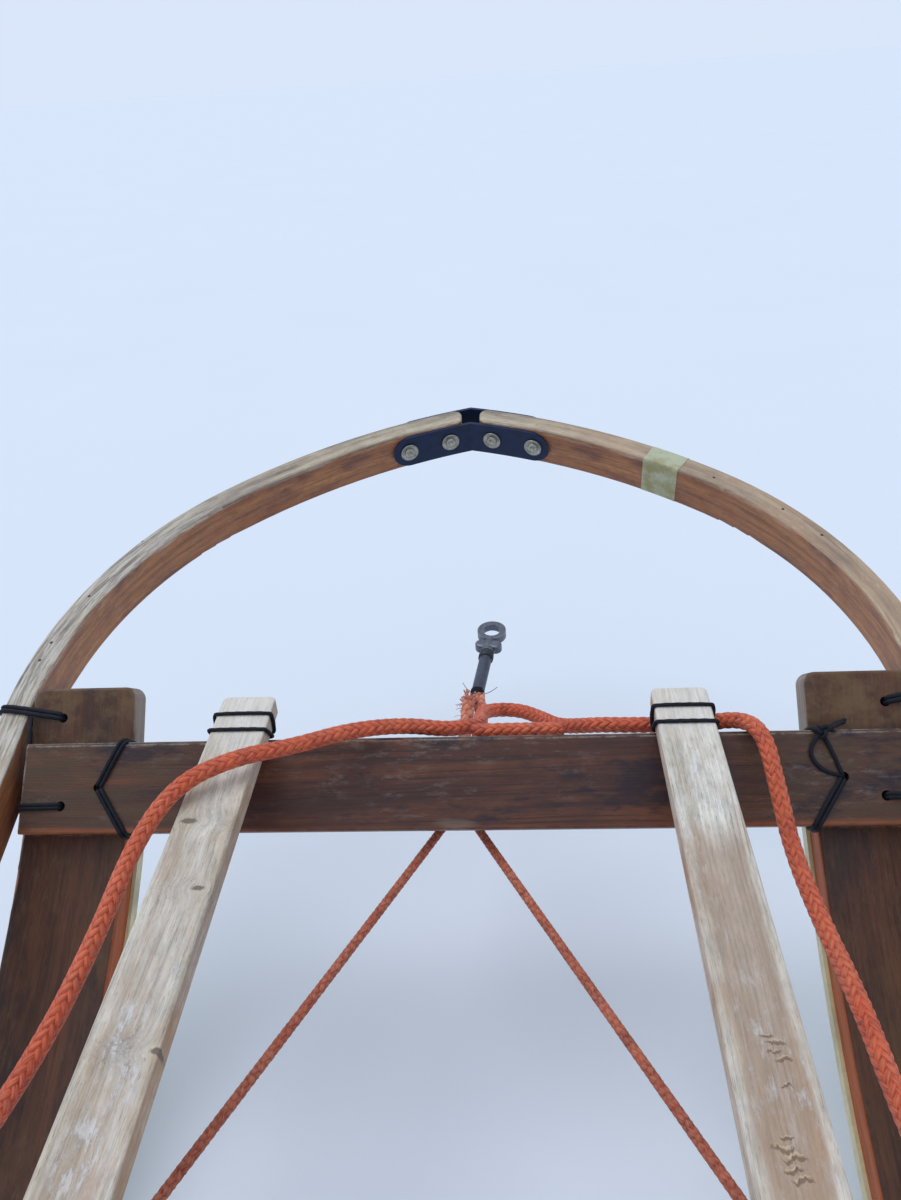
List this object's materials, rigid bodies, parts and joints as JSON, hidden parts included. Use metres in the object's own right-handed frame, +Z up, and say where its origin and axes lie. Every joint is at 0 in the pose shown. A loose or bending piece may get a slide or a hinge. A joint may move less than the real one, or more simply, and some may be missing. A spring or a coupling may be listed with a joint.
{
  "type": "dog sled",
  "caption": "Wooden touring dog sled with bent runners, slatted bed, brush bow, driving bow, claw brake and orange tow ropes.",
  "frame": {"origin": "on the ground, in the middle of the sled's footprint", "axes": "+Y to the front, +X to the sled's right, +Z up"},
  "size_m": [0.7058, 2.5276, 0.9541],
  "materials": {
    "runner_wood": "oiled, worn at the edges",
    "slat_wood": "bare, weathered",
    "bow_wood": "lacquered laminate, weathered top edge",
    "frame_wood": "oiled, weathered",
    "shoe_plastic": "scuffed",
    "plate_paint": "satin, dark blue-black",
    "zinc": "zinc plated, dulled",
    "brake_steel": "worn black paint",
    "tread_metal": "worn",
    "link_steel": "worn",
    "sleeve_rubber": "smooth",
    "pad_rubber": "ribbed",
    "rope_orange": "braided rope",
    "cord_black": "braided cord",
    "tape": "aged tape"
  },
  "bodies": {
    "sled": {"backrest_rail_lower": "frame_wood", "backrest_rail_upper": "frame_wood", "backrest_slat_left": "slat_wood", "backrest_slat_middle": "slat_wood", "backrest_slat_right": "slat_wood", "bed_slat_inner_left": "slat_wood", "bed_slat_inner_right": "slat_wood", "bed_slat_long_left": "slat_wood", "bed_slat_long_right": "slat_wood", "bed_slat_outer_left": "slat_wood", "bed_slat_outer_right": "slat_wood", "bow_bolts": "zinc", "bow_inner_plate": "plate_paint", "bow_outer_plate": "plate_paint", "brake_brackets": "brake_steel", "brake_pivot": "zinc", "bridle_rope": "rope_orange", "brush_bow_left": "bow_wood", "brush_bow_right": "bow_wood", "bunk_front": "frame_wood", "bunk_middle": "frame_wood", "bunk_rear": "frame_wood", "driving_bow": "bow_wood", "foot_pad_left": "pad_rubber", "foot_pad_right": "pad_rubber", "front_crosspiece": "runner_wood", "runner_left": "runner_wood", "runner_right": "runner_wood", "shoe_left": "shoe_plastic", "shoe_right": "shoe_plastic", "side_rail_left": "frame_wood", "side_rail_right": "frame_wood", "side_rope": "rope_orange", "stanchion_front_left": "frame_wood", "stanchion_front_right": "frame_wood", "stanchion_middle_left": "frame_wood", "stanchion_middle_right": "frame_wood", "stanchion_rear_left": "frame_wood", "stanchion_rear_right": "frame_wood", "tail_crossbar": "runner_wood", "tow_loop": "rope_orange", "tow_sleeve": "sleeve_rubber", "tow_swivel": "link_steel"},
    "brake": {"brake_frame": "brake_steel", "brake_tread": "tread_metal", "brake_springs": "zinc"}
  },
  "joints": [
    {"name": "brake_pivot_joint", "type": "hinge", "parent": "sled", "child": "brake", "pos_m": [0, -0.85876, 0.066], "axis": [1, 0, 0], "range_deg": [0, 14], "stiffness_Nm_per_rad": 14, "springref_deg": -40.11}
  ]
}
